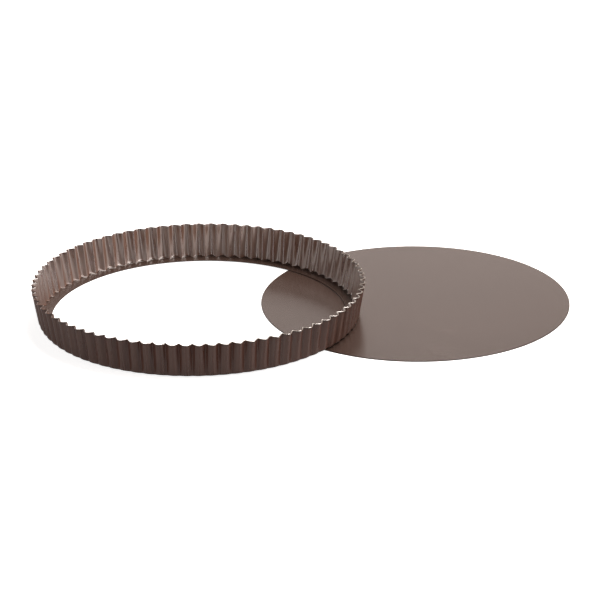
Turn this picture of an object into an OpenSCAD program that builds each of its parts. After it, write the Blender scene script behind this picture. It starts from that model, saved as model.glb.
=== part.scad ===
// Loose-bottomed tart pan in coated sheet steel: a fluted ring that turns in to a flat ledge
// at its foot, and the flat base that the ledge holds. The base lies on the table with one
// edge under the ring, and the ring leans on that edge.
// Millimetres, +Z up. The origin is the centre of the base's underside.

/* [Ring] */
// Outside diameter over the flutes at the top edge
top_d = 280; // [250:1:320]
// How much smaller that diameter is where the wall meets the table
wall_taper = 11; // [6:1:24]
// Height of the ring
ring_h = 30; // [20:1:45]
// Thickness of the sheet, measured along a radius
sheet_t = 0.6; // [0.4:0.1:1]
// Flat width of the ledge, inwards from the flutes
ledge_w = 7; // [4:0.5:12]
// Inside radius of the bend from wall to ledge, under a ridge between flutes
bend_r = 1; // [0.6:0.1:2]

/* [Flutes] */
// Number of flutes round the ring
flutes = 80; // [60:1:100]
// Depth of a flute at the top edge
flute_top = 4; // [2:0.1:5]
// Depth of a flute at the foot
flute_foot = 2.2; // [1:0.1:3]
// Roundness of the ridges between flutes, from sharp to soft
ridge_round = 0.15; // [0.1:0.05:1]

/* [Base] */
// Thickness of the base
base_t = 0.8; // [0.6:0.1:1.5]
// Radial play between the base and the flutes when the base is in the ring
base_play = 0.2; // [0.1:0.1:1]
// Broken edge of the base
base_edge = 0.15; // [0.05:0.05:0.25]

/* [Layout] */
// Ring's centre from the base's centre along X
ring_x = -182.5; // [-190:0.5:-170]
// Ring's centre from the base's centre along Y
ring_y = -25.5; // [-40:0.5:0]
// Turn of the ring about its own axis, in degrees
ring_turn = -0.5; // [-2.5:0.1:2.5]
// Gap where the ring leans on the base
rest_gap = 0.1; // [0.05:0.05:0.3]

/* [Hidden] */
$fn = 180;

// Steps round one flute and round the bend
flute_steps = 6;
bend_steps = 2;

top_r = top_d / 2;
foot_r = (top_d - wall_taper) / 2;

// Every function of g works on one slice of the wall: g is 1 on top of a flute and 0 on a ridge.
// Outer radius of the wall line at the top and at the table
function wall_top(g) = top_r - flute_top * (1 - g);
function wall_foot(g) = foot_r - flute_foot * (1 - g);
// Angle of the wall from upright
function draft(g) = atan((wall_top(g) - wall_foot(g)) / ring_h);

// The flat foot is a true circle, so the bend is tight under a ridge and wide under a flute
seat_r = wall_foot(0) - (bend_r + sheet_t) * tan(45 - draft(0) / 2);
// Outer radius of the bend
function bend_out(g) = (wall_foot(g) - seat_r) / tan(45 - draft(g) / 2);

opening_r = seat_r - ledge_w;
base_r = seat_r - base_play;

// The ring pivots on its foot's far side and meets the base where its opening crosses the
// base's edge, measured along the line from the ring's centre to the base's centre.
reach = norm([ring_x, ring_y]);
bearing = atan2(-ring_y, -ring_x);
contact_x = (reach * reach + opening_r * opening_r - base_r * base_r) / (2 * reach);
lean = asin((base_t + rest_gap) / (seat_r + contact_x));

// Height of the wall's outline within one flute, at t from 0 to 1 across it: a narrow ridge at
// each end and a broad round flute between
function flute_shape(t) =
    let (s = abs(sin(180 * t)), e = ridge_round)
    (sqrt(s * s + e * e) - e) / (sqrt(1 + e * e) - e);

// Point on the bend at depth d in the sheet, from the wall (f = 0) to the flat foot (f = 1)
function bend_point(g, d, f) =
    let (a = -draft(g) + f * (draft(g) - 90), r = bend_out(g) - d)
    [seat_r + r * cos(a), bend_out(g) + r * sin(a)];

// Closed outline of one slice, as [radius, height]: outer wall, foot, ledge, inner wall
function slice(g) = concat(
    [[wall_top(g), ring_h]],
    [for (k = [0 : bend_steps]) bend_point(g, 0, k / bend_steps)],
    [[opening_r, 0], [opening_r, sheet_t]],
    [for (k = [0 : bend_steps]) bend_point(g, sheet_t, 1 - k / bend_steps)],
    [[wall_top(g) - sheet_t, ring_h]]
);

// Skin of a closed loop of slices, each with n points
function loop_faces(slices, n) = [
    for (i = [0 : slices - 1], j = [0 : n - 1])
        let (
            here = i * n,
            next = ((i + 1) % slices) * n,
            k = (j + 1) % n
        )
        each [[here + j, next + k, here + k], [here + j, next + j, next + k]]
];

// The ring upright about the Z axis, with its foot at height 0
module ring_shell() {
    slices = flutes * flute_steps;
    outline_points = len(slice(0));
    points = [
        for (i = [0 : slices - 1])
            let (angle = 360 * i / slices)
            for (p = slice(flute_shape((i % flute_steps) / flute_steps)))
                [p[0] * cos(angle), p[0] * sin(angle), p[1]]
    ];
    polyhedron(points = points, faces = loop_faces(slices, outline_points));
}

// The ring as it lies, with its near foot raised by the base under it
module fluted_ring() {
    color("#54463f")
        translate([ring_x, ring_y, 0])
            rotate([0, 0, bearing])
                translate([-seat_r, 0, 0])
                    rotate([0, -lean, 0])
                        translate([seat_r, 0, 0])
                            rotate([0, 0, ring_turn - bearing])
                                ring_shell();
}

// The loose base: a flat disc with its edge just broken
module base_disc() {
    color("#8d7d75")
        rotate_extrude()
            polygon([
                [0, 0],
                [base_r - base_edge, 0],
                [base_r, base_edge],
                [base_r, base_t - base_edge],
                [base_r - base_edge, base_t],
                [0, base_t]
            ]);
}

base_disc();
fluted_ring();
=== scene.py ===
import math

import bpy
import numpy as np
from mathutils import Matrix, Vector


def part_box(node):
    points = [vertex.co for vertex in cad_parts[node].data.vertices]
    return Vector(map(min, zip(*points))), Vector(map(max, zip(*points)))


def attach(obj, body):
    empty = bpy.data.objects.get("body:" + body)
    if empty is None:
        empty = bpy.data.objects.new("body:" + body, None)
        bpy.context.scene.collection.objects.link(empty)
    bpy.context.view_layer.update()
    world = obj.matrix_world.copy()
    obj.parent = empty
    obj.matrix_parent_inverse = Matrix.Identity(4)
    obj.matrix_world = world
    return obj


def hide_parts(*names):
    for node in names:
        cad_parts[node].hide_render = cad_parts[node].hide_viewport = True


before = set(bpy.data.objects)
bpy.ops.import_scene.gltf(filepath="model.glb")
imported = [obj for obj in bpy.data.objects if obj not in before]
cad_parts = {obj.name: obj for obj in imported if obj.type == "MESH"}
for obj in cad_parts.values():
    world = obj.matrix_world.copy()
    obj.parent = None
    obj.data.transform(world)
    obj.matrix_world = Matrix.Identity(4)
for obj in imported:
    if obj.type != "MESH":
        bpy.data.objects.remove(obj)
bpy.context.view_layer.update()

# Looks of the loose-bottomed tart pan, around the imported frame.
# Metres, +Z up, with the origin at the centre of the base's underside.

MM = 0.001

# Ring, the same sizes as in CAD. A flute's depth is given at the top edge and at the foot.
TOP_R = 140 * MM
FOOT_R = 134.5 * MM
RING_H = 30 * MM
SHEET_T = 0.6 * MM
BEND_R = 1.0 * MM
LEDGE_W = 7.0 * MM
FLUTES = 80
FLUTE_TOP = 4.0 * MM
FLUTE_FOOT = 2.2 * MM
RIDGE_ROUND = 0.15

# Where the ring lies, the same as in CAD
RING_CENTRE = Vector((-182.5 * MM, -25.5 * MM, 0))
RING_TURN = math.radians(-0.5)
REST_GAP = 0.1 * MM

# Base: its size comes from the frame, and its broken edge is the same as in CAD
BASE_LOW, BASE_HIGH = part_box("base_disc")
BASE_R = (BASE_HIGH.x - BASE_LOW.x) / 2
BASE_T = BASE_HIGH.z - BASE_LOW.z
BASE_EDGE = 0.15 * MM

# Details finer than the CAD ring has: the top edge flares out along a narrow lip, dips at each flute,
# and stays a little below the top of the CAD ring
LIP_H = 1.3 * MM
LIP_OUT = 0.35 * MM
EDGE_DIP = 0.35 * MM
TOP_ALLOWANCE = 0.12 * MM

# How far the ring's cut edges bulge, and how round the cut edges are: 1 is round, and less is squarer
CUT_ROUND = 0.12 * MM
RING_CUT_POWER = 0.5
BASE_CUT_POWER = 0.7

# How far the pattern runs on past the sheet's end in each row of a cut edge, in lengths of its bulge
CUT_PATTERN = (1, 2, 3, 1.5)

# Unevenness that the press leaves in the wall: how many waves of each kind go round the ring, what
# they mostly stay under when added up, how far in or out that is half way up, and how much they lean
PRESS_SEED = 7
PRESS_CYCLES = (31, 53, 97, 141, 203)
PRESS_SUM = 2.2
PRESS_WAVE = 0.04 * MM
PRESS_LEAN = 6

# Rows of the ring's mesh, and columns in one flute
FLUTE_STEPS = 24
LIP_ROWS = 5
WALL_ROWS = 8
BEND_ROWS = 9
LEDGE_ROWS = 6
CUT_ROWS = 4
SHEET_ROWS = LIP_ROWS + WALL_ROWS + BEND_ROWS + LEDGE_ROWS
SLICES = FLUTES * FLUTE_STEPS

# Rings and columns of the base's mesh. A power below 1 crowds the rings towards the edge.
BASE_COLUMNS = 360
BASE_RINGS = 36
BASE_RING_POWER = 0.8
BASE_CUT_ROWS = 7

# Slots of the ring's materials, in the order in which they are added
INSIDE, OUTSIDE, LEDGE = range(3)

# Where the top edge shows bare metal, painted light beige as a highlight only on the side where the light
# catches the edge: the middle of that side, half its width and its soft end, as angles round the ring, how
# much of it the rows beside the cut edge take, and at what share the metal starts to show and shows wholly
BARE_GLINT_MIDDLE = math.radians(-20)
BARE_GLINT_HALF = math.radians(70)
BARE_GLINT_FADE = math.radians(15)
BARE_GLINT_BESIDE = (0.9, 0.5)
BARE_GLINT_THROUGH = (0.3, 0.8)

# Colours of the coating, each between a darker and a lighter one, then of its dark bands and of its bare
# metal, which is painted light as a highlight on the cut edge
# The level sheet, the ring's inside and its outside are one coating. Its three copies differ in colour only
# as painted light and shade: lightest inside, darker outside, darkest on the level sheet and ledge.
FLAT_SHADED_COLOURS = ((0.066, 0.042, 0.034, 1), (0.074, 0.047, 0.038, 1))
INSIDE_LIT_COLOURS = ((0.200, 0.098, 0.066, 1), (0.255, 0.130, 0.088, 1))
OUTSIDE_SHADED_COLOURS = ((0.130, 0.058, 0.041, 1), (0.170, 0.080, 0.057, 1))
DARK_EDGE_COLOUR = (0.03, 0.015, 0.01, 1)
RIM_COLOUR = (0.05, 0.03, 0.024, 1)
# Bare metal, light beige: partly the real cut edge, partly a painted highlight
BARE_METAL_AND_GLINT_COLOUR = (0.36, 0.31, 0.265, 1)

# Gloss: the wall's high IOR values stand in for the flakes in the coating
FLAT_IOR = 1.5
INSIDE_IOR = 3.3
OUTSIDE_IOR = 1.9
FLAT_ROUGHNESS = (0.22, 0.25)
WALL_ROUGHNESS = (0.26, 0.30)
QUARTER_TURN = 0.25

# Scales of the patterns, in features per metre. A grain has one scale each way along the sheet.
CLOUD_SCALE = 9
PATCH_SCALE = 40
SPECKLE_SCALE = 2500
FLAT_GRAIN = (60, 900)
WALL_GRAIN = (380, 14)

# Relief of the patterns: strength and height
FLAT_SPECKLE_RELIEF = (0.25, 0.02 * MM)
FLAT_GRAIN_RELIEF = (0.15, 0.02 * MM)
WALL_SPECKLE_RELIEF = (0.05, 0.02 * MM)
WALL_GRAIN_RELIEF = (0.035, 0.03 * MM)

# Dark bands: along the base's edge, with where it starts, where it is full and how strong it is,
# and under the ring's top edge, with how far down it reaches, how strong it is and how soft its end is
DARK_EDGE_START = 0.9 * MM
DARK_EDGE_END = 0.4 * MM
DARK_EDGE_SHARE = 0.6
RIM_BAND = 1.4 * MM
RIM_SHARE = 0.5
RIM_SOFT = 0.2

# Softboxes: name, azimuth and elevation in degrees, width in metres, and watts.
# Azimuth 0 is the camera's side, and 90 is the right.
LIGHTS = [
    ("key", 120, 68, 1.3, 54),
    ("right", 77, 27, 2.0, 17.5),
    ("front_right", 40, 42, 0.8, 1.5),
    ("front_low", -20, 14, 0.8, 3.5),
    ("left_low", -70, 14, 1.4, 4.1),
    ("back_left", -132, 14, 1.4, 7.6),
    ("back_low", 171, 14, 1.4, 4.7),
    ("back_high", 180, 42, 0.8, 8.4),
]
SOFTBOX_DISTANCE = 2.2
SOFTBOX_HEIGHT = 0.8
LIGHT_COLOUR = (1.0, 0.905, 0.85)
WORLD_STRENGTH = 0.01

# Floor: half its width, then how much light each of its two sheets throws back, how much it shines by
# itself, and how far down the second sheet lies
FLOOR_HALF = 6
FLOOR_ALBEDO = 0.9
FLOOR_GLOW = 0.85
REFLECTED_ALBEDO = 0.14
REFLECTED_GLOW = 0.18
REFLECTED_DEPTH = 0.5 * MM

# Camera, with its lens and sensor in millimetres
CAMERA_TARGET = Vector((-97.7 * MM, 5.8 * MM, 0))
CAMERA_DISTANCE = 2.495
CAMERA_ELEVATION = math.radians(21.86)
CAMERA_ROLL = math.radians(-0.44)
CAMERA_LENS = 176
CAMERA_SENSOR = 36


# ---------------------------------------------------------------- shapes

def add_to_scene(data):
    """Puts a mesh, light or camera in the scene, as an object of the same name."""
    thing = bpy.data.objects.new(data.name, data)
    bpy.context.scene.collection.objects.link(thing)
    return thing


def unit(vectors):
    return vectors / np.linalg.norm(vectors, axis=-1, keepdims=True)


def cut_profile(rows, power):
    """Points round a cut edge of a sheet, from one face to the other: how far across the sheet each is,
    from 1 to -1, and how far out, up to 1."""
    points = []
    for row in range(1, rows + 1):
        angle = math.pi * row / (rows + 1)
        across = math.copysign(abs(math.cos(angle)) ** power, math.cos(angle))
        points.append((across, math.sin(angle) ** power))
    return points


def flute_shape(place):
    """Outline within one flute, at a place from 0 to 1: 0 on the ridges at both ends, 1 on top of it."""
    swing = np.abs(np.sin(np.pi * place))
    full = math.hypot(1, RIDGE_ROUND) - RIDGE_ROUND
    return (np.hypot(swing, RIDGE_ROUND) - RIDGE_ROUND) / full


def wall_line(flute):
    """Outer radius at the table, and angle from upright, of the wall in a slice of that flute shape."""
    top = TOP_R - FLUTE_TOP * (1 - flute)
    foot = FOOT_R - FLUTE_FOOT * (1 - flute)
    return foot, np.arctan((top - foot) / RING_H)


def ledge_radius(flute, bend_out):
    """Radius at which the flat ledge starts, in a slice where the bend's outer radius is bend_out."""
    foot, draft = wall_line(flute)
    return foot - bend_out * np.tan(np.pi / 4 - draft / 2)


# The ledge starts on a true circle, so the bend is tightest under a ridge
SEAT_R = float(ledge_radius(0.0, BEND_R + SHEET_T))
OPENING_R = SEAT_R - LEDGE_W


def sheet_line(flute):
    """Middle of the sheet in every slice, from the cut top edge down the wall, round the bend and along
    the ledge to the opening. Returns radius and height, one row for each slice in flute."""
    foot, draft = (values[:, None] for values in wall_line(flute))
    bend_out = (foot - SEAT_R) / np.tan(np.pi / 4 - draft / 2)
    middle_r = bend_out - SHEET_T / 2

    # The lip flares out to the CAD ring's radius, so the wall leans in by as much on its way up to it
    bend_top_z = bend_out - middle_r * np.sin(draft)
    bend_top_r = SEAT_R + middle_r * np.cos(draft)
    top_z = RING_H - CUT_ROUND - TOP_ALLOWANCE - EDGE_DIP * flute[:, None]
    lip = np.linspace(1, 0, LIP_ROWS)
    wall = np.linspace(0, 1, WALL_ROWS + 2)[1:-1]
    lip_z = top_z - LIP_H * (1 - lip)
    wall_z = (top_z - LIP_H) * (1 - wall) + bend_top_z * wall
    z_up = np.concatenate([lip_z, wall_z], axis=1)
    flare = LIP_OUT * np.concatenate([lip ** 2, np.zeros(WALL_ROWS)])
    inward = LIP_OUT * np.clip((z_up - bend_top_z) / (top_z - bend_top_z), 0, 1)
    r_up = bend_top_r + (z_up - bend_top_z) * np.tan(draft) + flare - inward

    angle = -draft + np.linspace(0, 1, BEND_ROWS) * (draft - np.pi / 2)
    r_bend = SEAT_R + middle_r * np.cos(angle)
    z_bend = bend_out + middle_r * np.sin(angle)

    along = np.linspace(0, 1, LEDGE_ROWS + 1)[1:]
    r_ledge = SEAT_R + (OPENING_R + CUT_ROUND - SEAT_R) * np.tile(along, (flute.size, 1))
    z_ledge = np.full_like(r_ledge, SHEET_T / 2)
    radius = np.concatenate([r_up, r_bend, r_ledge], axis=1)
    height = np.concatenate([z_up, z_bend, z_ledge], axis=1)
    return radius, height


def press_waves(theta, height):
    """How far the press leaves the wall in or out, in metres: not at all at the top edge or the foot."""
    generator = np.random.default_rng(PRESS_SEED)
    wave = np.zeros_like(height)
    for cycles in PRESS_CYCLES:
        phase, slope = generator.uniform(0, 2 * np.pi, 2)
        lean = PRESS_LEAN * (slope - np.pi)
        wave += np.sin(cycles * theta[:, None] + phase + lean * height)
    share = np.clip(height / RING_H, 0, 1)
    return PRESS_WAVE * wave / PRESS_SUM * 4 * share * (1 - share)


def ring_middle(theta):
    """Middle of the ring's sheet: for each slice a row of points, with the ring upright at the origin."""
    within_flute = (np.arange(SLICES) % FLUTE_STEPS) / FLUTE_STEPS
    radius, height = sheet_line(flute_shape(within_flute))
    radius = radius + press_waves(theta, height)
    return np.stack([
        radius * np.cos(theta)[:, None],
        radius * np.sin(theta)[:, None],
        height,
    ], axis=-1)


def ring_skin(middle):
    """The whole skin of the sheet: for each slice a closed outline that goes down the outer face, round the
    opening's cut edge, up the inner face and round the top's cut edge."""
    round_way = np.roll(middle, -1, axis=0) - np.roll(middle, 1, axis=0)
    down_way = np.gradient(middle, axis=1)
    half_sheet = unit(np.cross(down_way, round_way)) * SHEET_T / 2
    top_bulge = unit(middle[:, 0] - middle[:, 1]) * CUT_ROUND
    opening_bulge = unit(middle[:, -1] - middle[:, -2]) * CUT_ROUND
    profile = cut_profile(CUT_ROWS, RING_CUT_POWER)
    opening_cut = [
        middle[:, -1] + half_sheet[:, -1] * across + opening_bulge * out
        for across, out in profile
    ]
    top_cut = [
        middle[:, 0] + half_sheet[:, 0] * across + top_bulge * out
        for across, out in reversed(profile)
    ]
    return np.concatenate([
        middle + half_sheet,
        np.stack(opening_cut, axis=1),
        (middle - half_sheet)[:, ::-1],
        np.stack(top_cut, axis=1),
    ], axis=1)


def ring_pattern(middle):
    """Places on the sheet for its pattern, in metres round the ring and down it, the same on both faces.
    It has one slice more than the skin, to end the last column of faces."""
    steps = np.linalg.norm(np.diff(middle, axis=1), axis=-1).mean(axis=0)
    down = np.concatenate([[0], np.cumsum(steps)])
    past_cut = np.array(CUT_PATTERN) * CUT_ROUND
    down_skin = np.concatenate([down, down[-1] + past_cut, down[::-1], -past_cut])
    round_ring = TOP_R * 2 * np.pi * np.arange(SLICES + 1) / SLICES
    return np.stack(np.meshgrid(round_ring, down_skin, indexing="ij"), axis=-1)


def skin_mesh(name, skin, pattern):
    """A closed mesh from a skin, with its pattern as the UV map."""
    slices, points = skin.shape[:2]
    here = np.arange(slices)[:, None] * points
    after = ((np.arange(slices) + 1) % slices)[:, None] * points
    point = np.arange(points)[None, :]
    following = (point + 1) % points
    quads = np.stack([here + point, here + following, after + following, after + point], axis=-1)
    mesh = bpy.data.meshes.new(name)
    mesh.from_pydata(skin.reshape(-1, 3).tolist(), [], quads.reshape(-1, 4).tolist())
    corners = np.stack([
        pattern[:-1],
        np.roll(pattern[:-1], -1, axis=1),
        np.roll(pattern[1:], -1, axis=1),
        pattern[1:],
    ], axis=2)
    layer = mesh.uv_layers.new(name="sheet")
    layer.data.foreach_set("uv", corners.ravel())
    mesh.shade_smooth()
    mesh.update()
    return mesh


def bare_and_glint_share(theta):
    """How much bare metal, with a painted highlight on it, each point of the skin has: on the lit side
    wholly on the cut top edge and less in the rows beside it, and not at all anywhere else."""
    off_middle = np.abs((theta - BARE_GLINT_MIDDLE + np.pi) % (2 * np.pi) - np.pi)
    wear_and_glint = np.clip((BARE_GLINT_HALF - off_middle) / BARE_GLINT_FADE + 0.5, 0, 1)
    bare_and_glint = np.zeros((SLICES, 2 * (SHEET_ROWS + CUT_ROWS)))
    bare_and_glint[:, -CUT_ROWS:] = wear_and_glint[:, None]
    for row, share in enumerate(BARE_GLINT_BESIDE):
        bare_and_glint[:, row] = share * wear_and_glint
        bare_and_glint[:, -CUT_ROWS - 1 - row] = share * wear_and_glint
    return bare_and_glint


def face_materials():
    """Slot of each face of the skin. The ledge's coating reaches up to about the middle of the bend, on
    both faces, and the cut top edge has the inside's coating."""
    wall = LIP_ROWS + WALL_ROWS + BEND_ROWS // 2 - 1
    cut = CUT_ROWS + 1
    ledge = 2 * (SHEET_ROWS - 1 - wall) + cut
    slice_slots = np.repeat([OUTSIDE, LEDGE, INSIDE], [wall, ledge, wall + cut])
    return np.tile(slice_slots, SLICES)


def ring_place():
    """The ring leans on the base: it pivots on its foot's far side, and its ledge lies on the base's edge
    where the opening crosses that edge."""
    reach = RING_CENTRE.length
    bearing = math.atan2(-RING_CENTRE.y, -RING_CENTRE.x)
    contact = (reach ** 2 + OPENING_R ** 2 - BASE_R ** 2) / (2 * reach)
    lean = math.asin((BASE_T + REST_GAP) / (SEAT_R + contact))
    pivot = Vector((-SEAT_R, 0, 0))
    return (
        Matrix.Translation(RING_CENTRE)
        @ Matrix.Rotation(bearing, 4, "Z")
        @ Matrix.Translation(pivot)
        @ Matrix.Rotation(-lean, 4, "Y")
        @ Matrix.Translation(-pivot)
        @ Matrix.Rotation(RING_TURN - bearing, 4, "Z")
    )


def make_ring():
    theta = 2 * np.pi * np.arange(SLICES) / SLICES
    middle = ring_middle(theta)
    mesh = skin_mesh("ring_sheet", ring_skin(middle), ring_pattern(middle))
    # Share of bare metal with a painted highlight, along the top edge on the lit side
    attribute = mesh.attributes.new("bare_and_glint_edge", "FLOAT", "POINT")
    attribute.data.foreach_set("value", bare_and_glint_share(theta).ravel())
    mesh.polygons.foreach_set("material_index", face_materials())
    mesh.transform(ring_place())
    return add_to_scene(mesh)


def base_line():
    """Half of the base's outline in a slice: out along its top, round the cut edge, and back in."""
    rings = [(ring / BASE_RINGS) ** BASE_RING_POWER for ring in range(1, BASE_RINGS + 1)]
    flat = [(BASE_R - 2 * BASE_EDGE) * ring for ring in rings] + [BASE_R - BASE_EDGE]
    top = [(r, BASE_T) for r in flat]
    cut = [
        (BASE_R - BASE_EDGE + BASE_EDGE * out, BASE_T / 2 + across * BASE_T / 2)
        for across, out in cut_profile(BASE_CUT_ROWS, BASE_CUT_POWER)
    ]
    underside = [(r, 0) for r in reversed(flat)]
    return top + cut + underside


def make_base():
    """The flat base, turned from its outline, with its place on the sheet as the UV map."""
    line = base_line()
    vertices = [(0, 0, BASE_T)]
    for r, z in line:
        for column in range(BASE_COLUMNS):
            angle = 2 * math.pi * column / BASE_COLUMNS
            vertices.append((r * math.cos(angle), r * math.sin(angle), z))
    vertices.append((0, 0, 0))

    underside_middle = len(vertices) - 1
    last_ring = underside_middle - BASE_COLUMNS
    faces = []
    for column in range(BASE_COLUMNS):
        after = (column + 1) % BASE_COLUMNS
        faces.append((0, 1 + column, 1 + after))
        for row in range(len(line) - 1):
            ring = 1 + row * BASE_COLUMNS
            following = ring + BASE_COLUMNS
            faces.append((ring + column, following + column, following + after, ring + after))
        faces.append((underside_middle, last_ring + after, last_ring + column))

    mesh = bpy.data.meshes.new("base_sheet")
    mesh.from_pydata(vertices, [], faces)
    layer = mesh.uv_layers.new(name="sheet")
    for loop in mesh.loops:
        layer.data[loop.index].uv = vertices[loop.vertex_index][:2]
    mesh.shade_smooth()
    mesh.update()
    return add_to_scene(mesh)


# ---------------------------------------------------------------- materials

class Nodes:
    """A new material, with short ways to add its nodes."""

    def __init__(self, name):
        self.material = bpy.data.materials.new(name)
        self.material.use_nodes = True
        self.tree = self.material.node_tree
        self.shader = self.tree.nodes["Principled BSDF"]

    def feed(self, node, inputs):
        """Gives a node its inputs, each of which is another node's output or a constant."""
        for key, value in inputs.items():
            if isinstance(value, bpy.types.NodeSocket):
                self.tree.links.new(value, node.inputs[key])
            else:
                node.inputs[key].default_value = value

    def add(self, kind, inputs, **settings):
        node = self.tree.nodes.new(kind)
        for key, value in settings.items():
            setattr(node, key, value)
        self.feed(node, inputs)
        return node

    def place(self):
        """Place on the object, in metres."""
        return self.add("ShaderNodeTexCoord", {}).outputs["Object"]

    def sheet_place(self, scales=(1, 1)):
        """Place along the sheet, stretched. On the ring the first way is round it, and the second down."""
        uv = self.add("ShaderNodeUVMap", {}, uv_map="sheet").outputs["UV"]
        inputs = {"Vector": uv, "Scale": (*scales, 1)}
        return self.add("ShaderNodeMapping", inputs).outputs["Vector"]

    def noise(self, place, scale, detail):
        inputs = {"Vector": place, "Scale": scale, "Detail": detail}
        return self.add("ShaderNodeTexNoise", inputs).outputs["Fac"]

    def spread(self, value, low, high, from_low=0.3, from_high=0.7):
        """Stretches a range to run from low to high. The default range is where a noise mostly stays."""
        inputs = {
            "Value": value,
            "From Min": from_low,
            "From Max": from_high,
            "To Min": low,
            "To Max": high,
        }
        return self.add("ShaderNodeMapRange", inputs).outputs["Result"]

    def blend(self, factor, first, second):
        """Mixes two colours, which are inputs 6 and 7 of the node, into its output 2."""
        inputs = {0: factor, 6: first, 7: second}
        return self.add("ShaderNodeMix", inputs, data_type="RGBA").outputs[2]

    def bumps(self, *layers):
        """Normal of a surface with layers of relief on it, each a pattern, its strength and its height."""
        inputs = {}
        for pattern, strength, height in layers:
            inputs.update({"Height": pattern, "Strength": strength, "Distance": height})
            inputs["Normal"] = self.add("ShaderNodeBump", inputs).outputs["Normal"]
        return inputs["Normal"]


def flat_material(name, edge_r=None):
    """Non-stick coating on flat sheet. On a disc of radius edge_r it is dark along the edge."""
    nodes = Nodes(name)
    place = nodes.place()
    clouds = nodes.noise(place, CLOUD_SCALE, detail=3)
    # The level sheet's colour is the coating's darkest copy, darkened as painted shade
    colour = nodes.blend(nodes.spread(clouds, 0, 1), *FLAT_SHADED_COLOURS)
    if edge_r:
        out = nodes.add("ShaderNodeVectorMath", {0: place}, operation="LENGTH").outputs["Value"]
        band = nodes.spread(out, 0, DARK_EDGE_SHARE, edge_r - DARK_EDGE_START, edge_r - DARK_EDGE_END)
        colour = nodes.blend(band, colour, DARK_EDGE_COLOUR)
    patches = nodes.noise(place, PATCH_SCALE, detail=4)
    speckle = nodes.noise(place, SPECKLE_SCALE, detail=2)
    grain = nodes.noise(nodes.sheet_place(FLAT_GRAIN), 1, detail=3)
    nodes.feed(nodes.shader, {
        "Base Color": colour,
        "Roughness": nodes.spread(patches, *FLAT_ROUGHNESS),
        "IOR": FLAT_IOR,
        "Normal": nodes.bumps((speckle, *FLAT_SPECKLE_RELIEF), (grain, *FLAT_GRAIN_RELIEF)),
    })
    return nodes.material


def wall_material(name, colours, ior):
    """Coating drawn down the flutes, dark in a band under the top edge, and bare on the cut, with a painted
    highlight there on the lit side.
    """
    nodes = Nodes(name)
    streak = nodes.noise(nodes.sheet_place(WALL_GRAIN), 1, detail=3)
    colour = nodes.blend(nodes.spread(streak, 0, 1), *colours)
    down = nodes.add("ShaderNodeSeparateXYZ", {0: nodes.sheet_place()}).outputs["Y"]
    rim = nodes.spread(down, RIM_SHARE, 0, RIM_BAND * (1 - RIM_SOFT), RIM_BAND * (1 + RIM_SOFT))
    colour = nodes.blend(rim, colour, RIM_COLOUR)
    # Bare metal on the cut top edge, its light beige a painted highlight where the light catches the edge
    bare_and_glint = nodes.add("ShaderNodeAttribute", {}, attribute_name="bare_and_glint_edge").outputs["Fac"]
    colour = nodes.blend(nodes.spread(bare_and_glint, 0, 1, *BARE_GLINT_THROUGH), colour, BARE_METAL_AND_GLINT_COLOUR)
    speckle = nodes.noise(nodes.place(), SPECKLE_SCALE, detail=2)
    tangent = nodes.add("ShaderNodeTangent", {}, direction_type="UV_MAP", uv_map="sheet")
    nodes.feed(nodes.shader, {
        "Base Color": colour,
        "Roughness": nodes.spread(streak, *WALL_ROUGHNESS),
        "IOR": ior,
        "Normal": nodes.bumps((speckle, *WALL_SPECKLE_RELIEF), (streak, *WALL_GRAIN_RELIEF)),
        "Anisotropic": 1,
        "Anisotropic Rotation": QUARTER_TURN,
        "Tangent": tangent.outputs["Tangent"],
    })
    return nodes.material


def paper_material(name, albedo, glow):
    """Matt white or grey that also shines evenly, with the radiance glow."""
    nodes = Nodes(name)
    nodes.feed(nodes.shader, {
        "Base Color": (albedo, albedo, albedo, 1),
        "Roughness": 1,
        "Specular IOR Level": 0,
        "Emission Color": (1, 1, 1, 1),
        "Emission Strength": glow,
    })
    return nodes.material


# ---------------------------------------------------------------- stage

def make_plane(name, height, albedo, glow):
    """A large level sheet of paper."""
    signs = ((-1, -1), (1, -1), (1, 1), (-1, 1))
    corners = [(x * FLOOR_HALF, y * FLOOR_HALF, height) for x, y in signs]
    mesh = bpy.data.meshes.new(name)
    mesh.from_pydata(corners, [], [(0, 1, 2, 3)])
    mesh.materials.append(paper_material(name, albedo, glow))
    plane = add_to_scene(mesh)
    return plane


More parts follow.
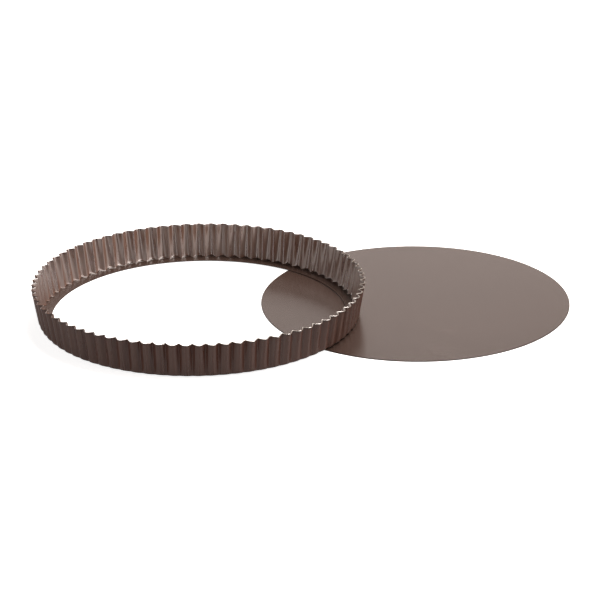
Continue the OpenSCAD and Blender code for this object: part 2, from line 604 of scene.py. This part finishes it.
def make_floor():
    """The floor is two sheets: a white one that the camera sees, and a duller one that the pan reflects."""
    seen = make_plane("floor", 0, FLOOR_ALBEDO, FLOOR_GLOW)
    seen.visible_diffuse = False
    seen.visible_glossy = False
    seen.visible_shadow = False
    reflected = make_plane("floor_reflected", -REFLECTED_DEPTH, REFLECTED_ALBEDO, REFLECTED_GLOW)
    reflected.visible_camera = False


def make_light(name, azimuth, elevation, width, power):
    """A softbox aimed at the middle of the object."""
    round_angle = math.radians(azimuth)
    up_angle = math.radians(elevation)
    way = Vector((
        math.sin(round_angle) * math.cos(up_angle),
        -math.cos(round_angle) * math.cos(up_angle),
        math.sin(up_angle),
    ))
    data = bpy.data.lights.new(name, "AREA")
    data.shape = "RECTANGLE"
    data.size = width
    data.size_y = SOFTBOX_HEIGHT
    data.energy = power
    data.color = LIGHT_COLOUR
    light = add_to_scene(data)
    light.location = CAMERA_TARGET + way * SOFTBOX_DISTANCE
    light.rotation_euler = way.to_track_quat("Z", "Y").to_euler()
    light.visible_camera = False


def make_world():
    world = bpy.data.worlds.new("studio")
    bpy.context.scene.world = world
    world.use_nodes = True
    background = world.node_tree.nodes["Background"]
    background.inputs["Color"].default_value = (1, 1, 1, 1)
    background.inputs["Strength"].default_value = WORLD_STRENGTH


def make_camera():
    data = bpy.data.cameras.new("camera")
    data.lens = CAMERA_LENS
    data.sensor_width = CAMERA_SENSOR
    camera = add_to_scene(data)
    back = Vector((0, -math.cos(CAMERA_ELEVATION), math.sin(CAMERA_ELEVATION)))
    turn = Matrix.Rotation(math.pi / 2 - CAMERA_ELEVATION, 4, "X") @ Matrix.Rotation(CAMERA_ROLL, 4, "Z")
    camera.matrix_world = Matrix.Translation(CAMERA_TARGET + back * CAMERA_DISTANCE) @ turn
    bpy.context.scene.camera = camera


# ---------------------------------------------------------------- the scene

ring = make_ring()
# Inside and outside take lit and shaded copies of the one coating: painted light inside, painted shade
# outside
ring.data.materials.append(wall_material("ring_inside_lit", INSIDE_LIT_COLOURS, INSIDE_IOR))
ring.data.materials.append(wall_material("ring_outside_shaded", OUTSIDE_SHADED_COLOURS, OUTSIDE_IOR))
ring.data.materials.append(flat_material("ledge_coating"))
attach(ring, "ring")
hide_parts("fluted_ring")

base = make_base()
base.data.materials.append(flat_material("base_coating", BASE_R))
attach(base, "base")
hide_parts("base_disc")

make_floor()
make_world()
for light in LIGHTS:
    make_light(*light)
make_camera()
bpy.context.scene.view_settings.view_transform = "Standard"
